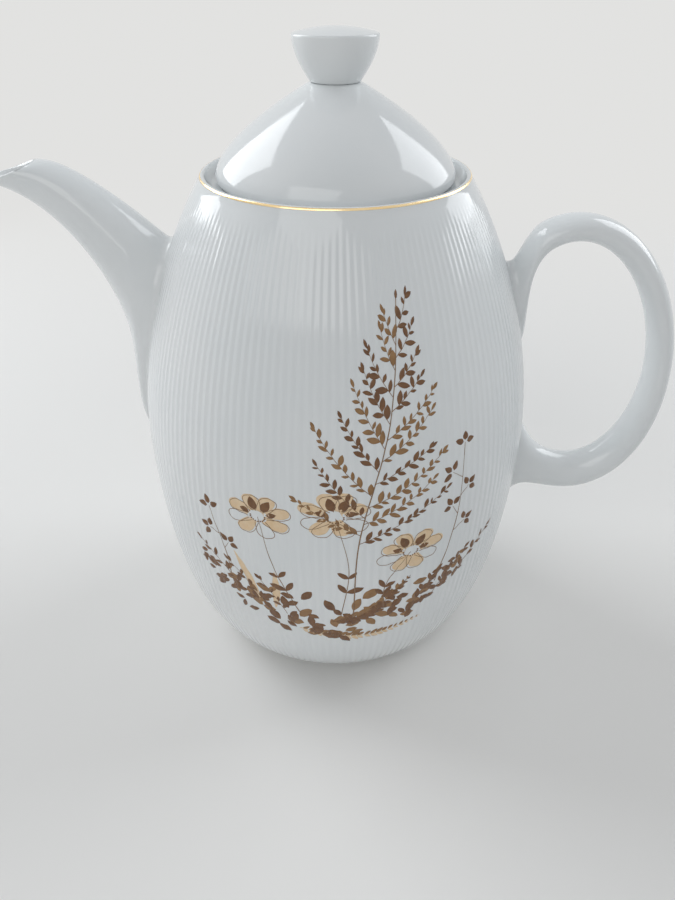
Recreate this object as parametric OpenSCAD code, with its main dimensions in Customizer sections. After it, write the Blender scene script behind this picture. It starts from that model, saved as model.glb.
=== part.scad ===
// Porcelain coffee pot: a cast egg-shaped body with a luted spout and handle,
// and a loose lid with a luted knob and a locking lug.
// The pot stands on Z = 0. The spout points to -X and the handle to +X, and X = 0 is halfway
// between their ends, so the body's own axis lies a little to the -X side.

/* [Body] */
// Height of the rim above the table
body_h = 173.5; // [150:0.5:210]
// Outer radius of the rim
rim_r = 41.5; // [40:0.5:50]
// Outer radius at the widest place
belly_r = 67.3; // [56:0.1:81]
// Height of the widest place
belly_z = 86.3; // [72:0.1:104]
// Thickness of the wall
wall_t = 3.8; // [3:0.1:5]
// Thickness of the rounded lip
lip_t = 1.8; // [1.4:0.1:2.4]
// Angle between the shoulder and the pot's axis at the rim
shoulder_angle = 32; // [26:1:40]
// Length over which the shoulder keeps that angle
shoulder_pull = 41; // [30:1:50]
// Length of the upright stretch above the widest place
belly_pull_up = 17.6; // [12:0.1:24]
// Length of the upright stretch below the widest place
belly_pull_down = 26.9; // [20:0.1:34]
// Length of the flat stretch at the heel
heel_pull = 20.6; // [14:0.1:24]

/* [Foot] */
// Outer radius of the foot ring where it stands
foot_r = 40; // [33:0.5:46]
// Width of the foot ring where it stands
foot_w = 3; // [2:0.1:5]
// Height of the hollow inside the foot ring
foot_recess = 2.8; // [2:0.1:4]
// Thickness of the floor of the pot
floor_t = 4.4; // [3.5:0.1:6]

/* [Lid seat] */
// Depth of the lid's seat below the rim
seat_depth = 3; // [2:0.1:5]
// Width of the seat under the lid, from the lid's edge inwards
seat_w = 3.3; // [2.5:0.1:4.5]
// Thickness of the ledge at its inner edge
ledge_t = 3.2; // [2.5:0.1:4.5]
// Gap between the lid's edge and the foot of the lip
lid_gap = 1.2; // [0.6:0.1:2]

/* [Lid] */
// Distance from the outside of the rim to the lid's edge
lid_inset = 5; // [4:0.1:6]
// Height of the neck above the lid's seat
lid_h = 27.3; // [20:0.1:34]
// Height of the rounded edge of the lid
lid_edge_h = 3.1; // [2.4:0.1:4.5]
// Radius of the neck that carries the knob
neck_r = 7.6; // [6:0.1:10]
// Thickness of the lid's shell
lid_t = 3.6; // [2.8:0.1:4.5]
// Radial play between the collar and the ledge
collar_play = 2.4; // [1.5:0.1:3]
// Depth of the collar below the seat
collar_h = 11; // [9:0.5:14]
// Thickness of the collar
collar_t = 3.2; // [2.4:0.1:4]

/* [Locking lug] */
// Gap between the lug and the ledge, all round
lug_clear = 0.5; // [0.3:0.1:1]
// Height of the lug
lug_h = 4; // [2.5:0.1:5]
// Angle that the lug spans on the collar
lug_angle = 24; // [14:1:40]

/* [Knob] */
// Height of the knob above the neck
knob_h = 14; // [10:0.1:18]
// Outer radius of the knob near its top
knob_r = 12.5; // [11:0.1:15]
// Radius of the rounded edge around the top
knob_edge = 0.7; // [0.4:0.1:1.2]
// Rise of the domed top above its edge
knob_dome = 1.5; // [0.4:0.1:2]

/* [Spout] */
// Distance from the rim down to the top of the spout's root
spout_drop = 22.5; // [20:0.5:30]
// Height of the root, measured on the body
spout_root_h = 70.5; // [60:0.5:80]
// Half of the greatest width of the root
spout_root_w = 15; // [11:0.5:18]
// How far the root stands proud of the body
spout_proud = 5.8; // [3:0.1:7]
// Reach of the pouring lip beyond the widest place of the body
spout_reach = 41.4; // [32:0.1:52]
// Length of the mouth, from its back edge to its pouring lip
mouth_l = 16; // [12:0.1:22]
// Half of the outer width of the mouth
mouth_w = 6.6; // [5:0.1:9]
// Height of the pouring lip, measured down from the rim
mouth_drop = 3.5; // [-8:0.5:16]
// Rise of the mouth's back edge above the pouring lip
mouth_rise = 6; // [3:0.5:10]
// How much narrower the mouth is at its pouring lip than at its back edge
mouth_taper = 0.3; // [0:0.05:0.5]
// Thickness of the spout at its root
spout_t = 3.6; // [2.6:0.1:4.5]
// Thickness of the spout at the mouth
mouth_t = 1.7; // [1.2:0.1:2.4]
// Diameter of the hole through the wall behind the spout
pour_d = 20; // [14:0.5:22]

/* [Handle] */
// Reach of the handle beyond the widest place of the body
handle_reach = 52; // [44:0.1:62]
// Distance from the rim down to the middle of the loop
handle_drop = 65; // [58:0.5:72]
// Half of the height of the loop, at the middle of the strap
handle_rise = 47.4; // [38:0.1:50]
// Half of the depth of the loop, at the middle of the strap
handle_depth = 31.2; // [27:0.1:36]
// Lean of the loop towards its lower end
handle_lean = 10; // [0:1:20]
// Thickness of the strap at the top of the loop
strap_t = 8.5; // [7:0.1:11]
// Thickness of the strap at the bottom of the loop
strap_low_t = 14.2; // [9:0.1:15]
// Width of the strap
strap_w = 14; // [11:0.1:18]
// Height of the upper root, measured on the body
upper_root_h = 27.5; // [24:0.5:34]
// Height of the lower root, measured on the body
lower_root_h = 42; // [32:0.5:50]
// Width of each root on the body
root_w = 16; // [13:0.1:20]
// How far the roots stand proud of the body
root_proud = 3.4; // [2:0.1:5]

/* [Joint] */
// Thickness of the layer of slip between two luted pieces
slip_t = 0.06; // [0.02:0.01:0.1]

/* [Hidden] */
$fn = 144;

porcelain = [0.90, 0.92, 0.92];
steps = 26;         // steps along each curve of the body's outline
lid_steps = 14;     // steps along the outlines of the lid and knob

seat_z = body_h - seat_depth;
lid_r = rim_r - lid_inset;
ledge_r = lid_r - seat_w;
floor_z = foot_recess + floor_t;
heel = [foot_r + 2, foot_recess];
lip_c = [rim_r - lip_t / 2, body_h - lip_t / 2];
collar_r = ledge_r - collar_play;
neck_z = seat_z + lid_h;
axis_x = (spout_reach - handle_reach) / 2;

// A facet of the spout or handle whose edges stay below facet_max keeps out of the body where
// its outline bends most, just above the widest place
bulge = max(0.1, belly_r - rim_r - shoulder_pull * sin(shoulder_angle));
facet_max = belly_pull_up * sqrt(12 * slip_t / bulge);
sides = max(40, 4 * ceil(PI * spout_root_h / facet_max / 4));   // sides of one of their rings
ring_step = 360 / sides;

// A cubic curve from a to d, drawn towards b and c, and its direction
function curve(a, b, c, d, t) =
    pow(1 - t, 3) * a + 3 * pow(1 - t, 2) * t * b + 3 * (1 - t) * t * t * c + pow(t, 3) * d;
function heading(a, b, c, d, t) =
    pow(1 - t, 2) * (b - a) + 2 * (1 - t) * t * (c - b) + t * t * (d - c);
function unit(v) = v / norm(v);
function mix(a, b, t) = a + (b - a) * t;
function ease(t) = t * t * (3 - 2 * t);

// The outline of the body from heel to rim: one curve below the belly and one above it
rim = [rim_r, lip_c[1]];
belly = [belly_r, belly_z];
low = [heel, heel + heel_pull * [1, 0.07], belly - [0, belly_pull_down], belly];
high = [belly, belly + [0, belly_pull_up],
        rim + shoulder_pull * [sin(shoulder_angle), -cos(shoulder_angle)], rim];

function outline(c, from, inset) = [
    for (i = [from:steps])
        let (t = i / steps, h = unit(heading(c[0], c[1], c[2], c[3], t)))
            curve(c[0], c[1], c[2], c[3], t) + inset * [-h[1], h[0]]
];
outer = concat(outline(low, 0, 0), outline(high, 1, 0));
inner = concat(outline(low, 0, wall_t), outline(high, 1, wall_t));

// Outer and inner radius of the body at height z
outer_table = [for (p = outer) [p[1], p[0]]];
inner_table = [for (p = inner) [p[1], p[0]]];
function body_r(z) = lookup(z, outer_table);
function cavity_r(z) = lookup(z, inner_table);

// The ledge's underside slopes back to the wall
ledge_foot_z = seat_z - ledge_t - (cavity_r(seat_z - ledge_t) - ledge_r) * 1.4;

// Every piece is drawn round the body's axis and then set in its place
module in_place() {
    color(porcelain) translate([axis_x, 0, 0]) children();
}

module ring_solid(points) {
    rotate_extrude() polygon(points);
}

module pot_body() {
    cavity = [for (p = inner) if (p[1] > floor_z + 2 && p[1] < ledge_foot_z) p];
    lip = [for (a = [0:30:180]) lip_c + lip_t / 2 * [cos(a), sin(a)]];
    in_place() difference() {
        ring_solid(concat(
            [[0, foot_recess], [foot_r - foot_w - 1.5, foot_recess],
             [foot_r - foot_w, 0.6], [foot_r - foot_w + 0.6, 0],
             [foot_r - 0.6, 0], [foot_r, 0.6]],
            [for (p = outer) if (p[1] < lip_c[1]) p], lip,
            [[lid_r + lid_gap, seat_z], [ledge_r, seat_z], [ledge_r, seat_z - ledge_t],
             [cavity_r(ledge_foot_z), ledge_foot_z]],
            [for (i = [len(cavity) - 1:-1:0]) cavity[i]],
            [[cavity_r(floor_z + 2) - 2.4, floor_z + 0.4], [cavity_r(floor_z + 2) - 6, floor_z],
             [0, floor_z]]));
        // The pouring hole, level with the widest part of the spout's root
        translate([-belly_r, 0, pour_z])
            rotate([0, 90, 0]) cylinder(d = pour_d, h = 2 * wall_t + belly_r - body_r(pour_z));
    }
}

// A closed tube through rings of points, all with the same number of points
function tube_faces(rings, n) = [
    for (i = [0:rings - 2], j = [0:n - 1])
        let (a = i * n + j, b = i * n + (j + 1) % n)
            each [[a, b, b + n], [a, b + n, a + n]]
];

// A point on the body's surface at width y and height z, lifted off it
function on_body(side, y, z, lift) =
    let (r = body_r(z) + lift) [side * sqrt(r * r - y * y), y, z];

// Spout. Each ring runs from an upper point to a lower point and has a half-width.
spout_tip = [-belly_r - spout_reach, body_h - mouth_drop];
mouth_back = spout_tip + [mouth_l, mouth_rise];
root_top_z = body_h - spout_drop;
spout_low_z = root_top_z - spout_root_h;
pour_z = spout_low_z + 0.6 * spout_root_h;
neck_top = [-body_r(root_top_z) - 11, root_top_z + 9.6];
neck_low = [-belly_r - 0.5 * spout_proud, spout_low_z + 0.58 * spout_root_h];
neck_w = mix(spout_root_w, mouth_w, 0.3);
top_line = [neck_top, mix(neck_top, mouth_back, 0.35) + [0, 3.2],
            mix(neck_top, mouth_back, 0.76) + [0, 5.3], mouth_back];
low_line = [neck_low, neck_low + [-2, 16], spout_tip + [22.5, -3.8], spout_tip];

root_rings = 9;
free_rings = 13;
tail_fill = 6;      // solid part of the tail, in wall thicknesses
// Steps across the face that lies on the body
seat_rings = max(5, ceil(tail_fill * spout_t / facet_max));

// Point at station s of the spout's upper or lower line, moved in by the wall
function line_point(c, s, inset) =
    let (h = unit(heading(c[0], c[1], c[2], c[3], s)))
        curve(c[0], c[1], c[2], c[3], s) + inset * [-h[1], h[0]];

// Point at angle a of a free ring at station s, inset by the wall
function free_point(s, a, inset) =
    let (top = line_point(top_line, s, inset), bottom = line_point(low_line, s, -inset),
         w = mix(neck_w, mouth_w, 1 - pow(1 - s, 1.4)) - inset,
         p = (top + bottom) / 2 + (top - bottom) / 2 * cos(a),
         taper = mix(0.12, mouth_taper, s * s))
        [p[0], w * sin(a) * (1 + taper * cos(a)), p[1]];

// Point at angle a of the root, on the body, inset by the wall; the tail of the root is solid
function root_point(a, inset) =
    let (low_z = spout_low_z + tail_fill * inset, high_z = root_top_z - 1.5 * inset,
         z = (high_z + low_z) / 2 + (high_z - low_z) / 2 * cos(a),
         y = (spout_root_w - inset) * sin(a) * (1 + 0.42 * cos(a)) / 1.09)
        on_body(-1, y, z, slip_t);

// Point at angle a of the face that lies on the body; k runs from the bore to the outside
function seat_point(a, k) =
    let (p = mix(root_point(a, spout_t), root_point(a, 0), k)) on_body(-1, p[1], p[2], slip_t);

// Between the root and the free part each point follows its own curve
function spout_point(i, a, inset) =
    i > root_rings ? free_point((i - root_rings) / free_rings, a, inset)
    : let (p0 = root_point(a, inset), p3 = free_point(0, a, inset),
           away = unit(free_point(0.01, a, inset) - p3),
           lift = (inset > 0 ? 1 : spout_proud) * (0.55 - 0.45 * cos(a)),
           p1 = p0 + [-lift, 0, 0.4 * lift],
           p2 = p3 - norm(p3 - p0) * 0.33 * away)
        curve(p0, p1, p2, p3, i / root_rings);

module spout() {
    rings = root_rings + free_rings + 1;
    angles = [for (j = [0:sides - 1]) j * ring_step];
    points = [
        for (i = [0:rings - 1], a = angles) spout_point(i, a, 0),
        for (i = [rings - 1:-1:0], a = angles)
            spout_point(i, a, mix(spout_t, mouth_t, i / (rings - 1))),
        for (k = [1:seat_rings - 1], a = angles) seat_point(a, k / seat_rings)
    ];
    last = len(points) - sides;
    closing = [
        for (j = [0:sides - 1])
            let (k = (j + 1) % sides) each [[last + j, last + k, k], [last + j, k, j]]
    ];
    in_place()
        polyhedron(points, concat(tube_faces(len(points) / sides, sides), closing));
}

// Handle. The strap's middle runs on a leaning ellipse between two roots on the body.
loop_c = [belly_r + handle_reach - handle_depth - strap_t / 2, body_h - handle_drop];
upper_end = 118;
lower_end = -80;
strap_rings = 34;
root_steps = 11;

function loop_point(t) = loop_c + [handle_depth * cos(t), handle_rise * sin(t - handle_lean)];
function loop_heading(t) =
    unit([handle_depth * sin(t), -handle_rise * cos(t - handle_lean)]);
// Half of the strap's thickness grows on the way down
function half_strap(t) = mix(strap_t, strap_low_t, ease(max(0, min(1, (10 - t) / 95)))) / 2;

// Point of the strap at loop angle t and ring angle a; a = 0 is on the outside of the loop
function strap_point(t, a) =
    let (h = loop_heading(t), p = loop_point(t) + half_strap(t) * cos(a) * [-h[1], h[0]])
        [p[0], strap_w / 2 * sin(a), p[1]];

// Edge of a root on the body, at scale k; up is 1 at the upper root and -1 at the lower one.
// The roots hang from the loop's two ends.
upper_root_z = loop_point(upper_end)[1] - upper_root_h / 2 - 10.1;
lower_root_z = loop_point(lower_end)[1] + lower_root_h / 2 - 15.3;
function handle_root(up, a, k) =
    let (z = up > 0 ? upper_root_z : lower_root_z, h = up > 0 ? upper_root_h : lower_root_h)
        on_body(1, k * root_w / 2 * sin(a), z + k * up * h / 2 * cos(a), slip_t);

// A point on the way from a root to the strap
function root_way(up, a, s) =
    let (t = up > 0 ? upper_end : lower_end,
         p0 = handle_root(up, a, 1), p3 = strap_point(t, a), h = up * loop_heading(t),
         rise = root_proud * (up > 0 ? 0.95 + 0.25 * cos(a) : 1.3 + 0.3 * cos(a)),
         pull = norm(p3 - p0) * (up > 0 ? 0.37 : 0.5),
         slope = up > 0 ? 0.9 - 1.33 * cos(a) + 0.47 * pow(cos(a), 2) : 0.53 + 2.38 * cos(a),
         p1 = p0 + [rise, 0, slope * rise],
         p2 = p3 - pull * [h[0], 0, h[1]])
        curve(p0, p1, p2, p3, s);

module handle() {
    caps = [0.05, 0.3, 0.55, 0.8];
    angles = [for (j = [0:sides - 1]) j * ring_step];
    points = [
        for (k = caps, a = angles) handle_root(1, a, k),
        for (i = [0:root_steps - 1], a = angles) root_way(1, a, i / root_steps),
        for (i = [0:strap_rings], a = angles)
            strap_point(mix(upper_end, lower_end, i / strap_rings), a),
        for (i = [root_steps - 1:-1:0], a = angles) root_way(-1, a, i / root_steps),
        for (i = [len(caps) - 1:-1:0], a = angles) handle_root(-1, a, caps[i])
    ];
    rings = len(points) / sides;
    first_cap = [for (j = [sides - 1:-1:0]) j];
    last_cap = [for (j = [0:sides - 1]) (rings - 1) * sides + j];
    in_place()
        polyhedron(points, concat(tube_faces(rings, sides), [first_cap, last_cap]));
}

// Lid: a bell-shaped shell on a flat flange, with a collar that locates it in the ledge
module lid() {
    edge = [lid_r, seat_z + lid_edge_h];
    neck = [neck_r, neck_z];
    pulls = [edge + [-2, 7.4], neck + [12.9, -7.1]];
    dome = [for (i = [0:lid_steps]) curve(edge, pulls[0], pulls[1], neck, i / lid_steps)];
    under = [
        for (i = [2:lid_steps - 2])
            let (t = i / lid_steps, h = unit(heading(edge, pulls[0], pulls[1], neck, t)),
                 p = curve(edge, pulls[0], pulls[1], neck, t) + lid_t * [-h[1], h[0]])
                if (p[0] < collar_r - collar_t - 0.2) p
    ];
    bend = lid_edge_h * 0.7;
    rounding = [for (a = [0:18:90])
        [edge[0] - bend * (1 - sin(a)), seat_z + bend * (1 - cos(a))]];
    in_place() ring_solid(concat(
        [[collar_r, seat_z]], rounding, dome, [[0, neck_z], [0, neck_z - lid_t - 1.5]],
        [for (i = [len(under) - 1:-1:0]) under[i]],
        [[collar_r - collar_t, seat_z + 2], [collar_r - collar_t, seat_z - collar_h + 0.6],
         [collar_r - collar_t + 0.6, seat_z - collar_h], [collar_r - 0.6, seat_z - collar_h],
         [collar_r, seat_z - collar_h + 0.6]]));
}

// Knob: a cone that widens upwards, with a rounded edge and a faintly domed top
module lid_knob() {
    shoulder = [knob_r, knob_h - knob_dome - knob_edge];
    side = [for (i = [0:lid_steps])
        curve([neck_r, 0], [neck_r + 2.4, 3.4], shoulder - [0.3, 4.4], shoulder, i / lid_steps)];
    edge = [for (a = [15:15:75]) shoulder + knob_edge * [cos(a) - 1, sin(a)]];
    dome = [for (i = [0:8])
        [(knob_r - knob_edge) * (1 - i / 8), knob_h - knob_dome * pow(1 - i / 8, 2)]];
    in_place() translate([0, 0, neck_z])
        ring_solid(concat([[0, 0]], side, edge, dome));
}

// Lug on the collar, facing the spout, that catches under the ledge when the lid slides forward
module lid_lug() {
    lug_r = ledge_r - lug_clear;
    top = seat_z - ledge_t - lug_clear;
    in_place() rotate([0, 0, 180 - lug_angle / 2]) rotate_extrude(angle = lug_angle)
        polygon([[collar_r, top - lug_h], [lug_r - 0.5, top - lug_h], [lug_r, top - lug_h + 0.8],
                 [lug_r, top], [collar_r, top]]);
}

pot_body();
spout();
handle();
lid();
lid_knob();
lid_lug();
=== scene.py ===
"""The looks of a porcelain coffee pot: fluted glazed body, spout, handle, lid, knob, gold line
and a brown floral transfer print. Shapes are worked out in millimetres and made in metres.
The spout points to -X, the handle to +X, and the print faces -Y."""

import math
import random

import bpy
import numpy as np
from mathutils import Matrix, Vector


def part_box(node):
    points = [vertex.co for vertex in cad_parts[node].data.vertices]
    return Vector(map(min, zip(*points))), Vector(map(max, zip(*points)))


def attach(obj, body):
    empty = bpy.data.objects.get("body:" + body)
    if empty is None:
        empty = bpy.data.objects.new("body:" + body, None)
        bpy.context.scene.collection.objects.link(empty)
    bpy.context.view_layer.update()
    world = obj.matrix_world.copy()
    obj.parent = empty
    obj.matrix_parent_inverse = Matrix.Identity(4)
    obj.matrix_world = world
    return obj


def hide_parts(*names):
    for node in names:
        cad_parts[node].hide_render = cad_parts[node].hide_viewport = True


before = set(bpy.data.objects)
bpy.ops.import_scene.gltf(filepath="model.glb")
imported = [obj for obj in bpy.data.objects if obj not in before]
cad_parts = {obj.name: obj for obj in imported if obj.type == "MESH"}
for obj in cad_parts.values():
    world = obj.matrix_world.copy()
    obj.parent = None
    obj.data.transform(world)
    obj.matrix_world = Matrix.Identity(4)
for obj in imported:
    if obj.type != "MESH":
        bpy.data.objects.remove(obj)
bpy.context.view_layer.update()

MM = 0.001


def node_box(node):
    """A CAD node's lowest and highest corners, in millimetres."""
    low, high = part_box(node)
    return np.array(low) / MM, np.array(high) / MM


# ---------------------------------------------------------------- dimensions, in millimetres
BODY_LOW, BODY_HIGH = node_box("pot_body")
AXIS = np.array([(BODY_LOW[0] + BODY_HIGH[0]) / 2, 0, 0])     # the body's own axis
BODY_H = BODY_HIGH[2]
BELLY_R = BODY_HIGH[1]
NECK_Z = node_box("lid_knob")[0][2]

# The body: its rim, widest place and walls, the pulls on its outline's curves, and its foot
RIM_R, BELLY_Z = 41.5, 86.3
WALL_T, LIP_T = 3.8, 1.8
SHOULDER_ANGLE, SHOULDER_PULL = math.radians(32), 41
BELLY_PULL_UP, BELLY_PULL_DOWN, HEEL_PULL = 17.6, 26.9, 20.6
FOOT_R, FOOT_W, FOOT_RECESS, FLOOR_T = 40, 3, 2.8, 4.4
HEEL_OUT, HEEL_SLOPE = 2, 0.07
FOOT_ROUND = 0.6        # how far the foot ring's rounded edges reach
BARE_H = 0.62           # the ring is unglazed below this height

# The ledge that the lid sits on, the lid and its knob
SEAT_DEPTH, SEAT_W, LEDGE_T, LID_GAP, LID_INSET = 3, 3.3, 3.2, 1.2, 5
LEDGE_SLOPE = 1.4       # how steeply the ledge's underside runs down to the wall
SEAT_Z = BODY_H - SEAT_DEPTH
LID_R = RIM_R - LID_INSET
LEDGE_R = LID_R - SEAT_W
LID_EDGE_H, NECK_R, LID_T = 3.1, 7.6, 3.6
COLLAR_R, COLLAR_H, COLLAR_T = LEDGE_R - 2.4, 11, 3.2
KNOB_H, KNOB_R, KNOB_EDGE, KNOB_DOME = 14, 12.5, 0.7, 1.5

# The spout: its root on the body, its mouth and its walls. Widths are half widths
SPOUT_DROP, ROOT_H, ROOT_W, PROUD = 22.5, 70.5, 15, 5.8
SPOUT_REACH, MOUTH_L, MOUTH_W, MOUTH_DROP, MOUTH_RISE = 41.4, 16, 6.6, 3.5, 6
SPOUT_T, MOUTH_T = 3.6, 1.7
NECK_TAPER, MOUTH_TAPER = 0.12, 0.3     # how much wider the top of a section is
THINNING = 1.4          # above 1 the width falls faster near the root
NECK_OUT, NECK_UP, NECK_LOW_SHARE = 11, 9.6, 0.58       # where its free part starts
TOP_BOWS = ((0.35, 3.2), (0.76, 5.3))   # on its top line: how far along, and how far up
LOW_PULL, TIP_PULL = (-2, 16), (22.5, -3.8)             # on its lower line
ROOT_TAPER, ROOT_FULL = 0.42, 1.09      # the root's egg shape, and what it adds to the width
TAIL_FILL, HEAD_FILL = 6, 1.5           # solid clay at the ends of the bore, in wall thicknesses
POUR_D, POUR_SHARE, POUR_DEPTH = 20, 0.6, 20            # the pouring hole in the body

# The handle: its loop, the section of its strap and its two roots
HANDLE_REACH, HANDLE_DROP = 52, 65
HANDLE_RISE, HANDLE_DEPTH, HANDLE_LEAN = 47.4, 31.2, math.radians(10)
STRAP_T, STRAP_LOW_T, STRAP_W = 8.5, 14.2, 14
UPPER_ROOT_H, LOWER_ROOT_H, HANDLE_ROOT_W, HANDLE_PROUD = 27.5, 42, 16, 3.4
UPPER_ROOT_DROP, LOWER_ROOT_DROP = 10.1, 15.3           # from the ends of the strap

FLUTES = 156            # fine vertical flutes round the body
FLUTE_DEPTH = 0.17
FLUTE_STEPS = 6         # mesh columns across one flute
FLUTE_LOW, FLUTE_LOW_FADE = 5, 8        # where they end, and how slowly they fade out there
FLUTE_HIGH, FLUTE_HIGH_FADE = BODY_H - 4, 7

SUNK = 0.5              # how far the rim of a luted root lies inside the body's surface
CAP_SUNK = 1.6          # how far in the closed ends of the handle lie
SPREAD = 0.9            # a fillet's reach along the body, as a share of its reach outwards


# ---------------------------------------------------------------- curves and surfaces
def curve(a, b, c, d, t):
    """A cubic curve from a to d, drawn towards b and c."""
    a, b, c, d = (np.asarray(p, float) for p in (a, b, c, d))
    return (1 - t) ** 3 * a + 3 * (1 - t) ** 2 * t * b + 3 * (1 - t) * t * t * c + t ** 3 * d


def heading(a, b, c, d, t):
    """The curve's direction at t."""
    a, b, c, d = (np.asarray(p, float) for p in (a, b, c, d))
    h = (1 - t) ** 2 * (b - a) + 2 * (1 - t) * t * (c - b) + t * t * (d - c)
    return h / np.linalg.norm(h)


def offset(line, t, inset):
    """A point of the curve, moved to its left by inset."""
    h = heading(*line, t)
    return curve(*line, t) + inset * np.array([-h[1], h[0]])


def mix(a, b, t):
    """a at t = 0 and b at t = 1."""
    return a + (b - a) * t


def ease(t):
    """0 below 0, 1 above 1, and a soft step between them."""
    t = min(1.0, max(0.0, t))
    return t * t * (3 - 2 * t)


HEEL = np.array([FOOT_R + HEEL_OUT, FOOT_RECESS])
RIM = np.array([RIM_R, BODY_H - LIP_T / 2])
BELLY = np.array([BELLY_R, BELLY_Z])
LOW = (HEEL, HEEL + HEEL_PULL * np.array([1, HEEL_SLOPE]), BELLY - [0, BELLY_PULL_DOWN], BELLY)
SHOULDER = SHOULDER_PULL * np.array([math.sin(SHOULDER_ANGLE), -math.cos(SHOULDER_ANGLE)])
HIGH = (BELLY, BELLY + [0, BELLY_PULL_UP], RIM + SHOULDER, RIM)
LIP_C = np.array([RIM_R - LIP_T / 2, BODY_H - LIP_T / 2])


def outline(inset, steps):
    """The body's outline from heel to rim, moved in by inset."""
    low = [offset(LOW, i / steps, inset) for i in range(steps)]
    return low + [offset(HIGH, i / steps, inset) for i in range(steps + 1)]


OUTLINE = np.array(outline(0, 120))
INNER = np.array(outline(WALL_T, 120))


def body_r(z):
    """The body's outer radius at a height."""
    return float(np.interp(z, OUTLINE[:, 1], OUTLINE[:, 0]))


def cavity_r(z):
    """The inside's radius at a height."""
    return float(np.interp(z, INNER[:, 1], INNER[:, 0]))


def flute(angle, z):
    """How far the flutes cut into the body there. They fade out at the rim and at the foot."""
    fade = ease((FLUTE_HIGH - z) / FLUTE_HIGH_FADE) * ease((z - FLUTE_LOW) / FLUTE_LOW_FADE)
    return FLUTE_DEPTH * fade * (0.5 - 0.5 * math.cos(FLUTES * angle))


def on_print(u, z, lift):
    """A point of the fluted front, u millimetres of belly to the right of its middle."""
    angle = u / BELLY_R - math.pi / 2
    r = body_r(z) - flute(angle, z) + lift
    return np.array([r * math.cos(angle), r * math.sin(angle), z])


def on_body(side, y, z, lift):
    """A point of the plain body at width y and height z; side is 1 towards the handle."""
    r = body_r(z) + lift
    return np.array([side * math.sqrt(max(r * r - y * y, 0)), y, z])


# ---------------------------------------------------------------- making meshes
def put_in_scene(name, data):
    thing = bpy.data.objects.new(name, data)
    bpy.context.scene.collection.objects.link(thing)
    return thing


def smooth_faces(mesh):
    mesh.polygons.foreach_set("use_smooth", [True] * len(mesh.polygons))


def make_piece(name, points, faces, material, body):
    """A mesh from points in millimetres round the body's axis, riding on a CAD body."""
    mesh = bpy.data.meshes.new(name)
    mesh.from_pydata((np.array(points, float) + AXIS) * MM, [], faces)
    mesh.validate()
    mesh.update()
    smooth_faces(mesh)
    piece = put_in_scene(name, mesh)
    mesh.materials.append(material)
    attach(piece, body)
    return piece


def lathe(profile, columns, bend=None):
    """A solid of revolution through (radius, height) points, closed on the axis at both ends.
    bend(angle, radius, height) gives how far the surface moves in."""
    points, faces, rows = [], [], []
    for r, z in profile:
        if r < 1e-6:
            rows.append([len(points)] * columns)
            points.append((0, 0, z))
            continue
        rows.append(list(range(len(points), len(points) + columns)))
        for k in range(columns):
            angle = 2 * math.pi * k / columns
            cut = bend(angle, r, z) if bend else 0
            points.append(((r - cut) * math.cos(angle), (r - cut) * math.sin(angle), z))
    for lower, upper in zip(rows, rows[1:]):
        for k in range(columns):
            n = (k + 1) % columns
            face = [lower[k], lower[n], upper[n], upper[k]]
            face = [v for i, v in enumerate(face) if v != face[i - 1]]
            if len(face) > 2:
                faces.append(face)
    return points, faces


def tube(rings, closed=False):
    """Points and faces through rings that all have the same number of points."""
    n, count = len(rings[0]), len(rings)
    points = [p for ring in rings for p in ring]
    faces = []
    for i in range(count if closed else count - 1):
        a, b = i * n, ((i + 1) % count) * n
        faces += [[a + j, a + (j + 1) % n, b + (j + 1) % n, b + j] for j in range(n)]
    return points, faces


def arc(centre, radius, start, end, steps):
    """Points on an arc of a profile, by angles in degrees."""
    turns = [math.radians(mix(start, end, i / steps)) for i in range(steps + 1)]
    return [np.array(centre) + radius * np.array([math.cos(a), math.sin(a)]) for a in turns]


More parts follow.
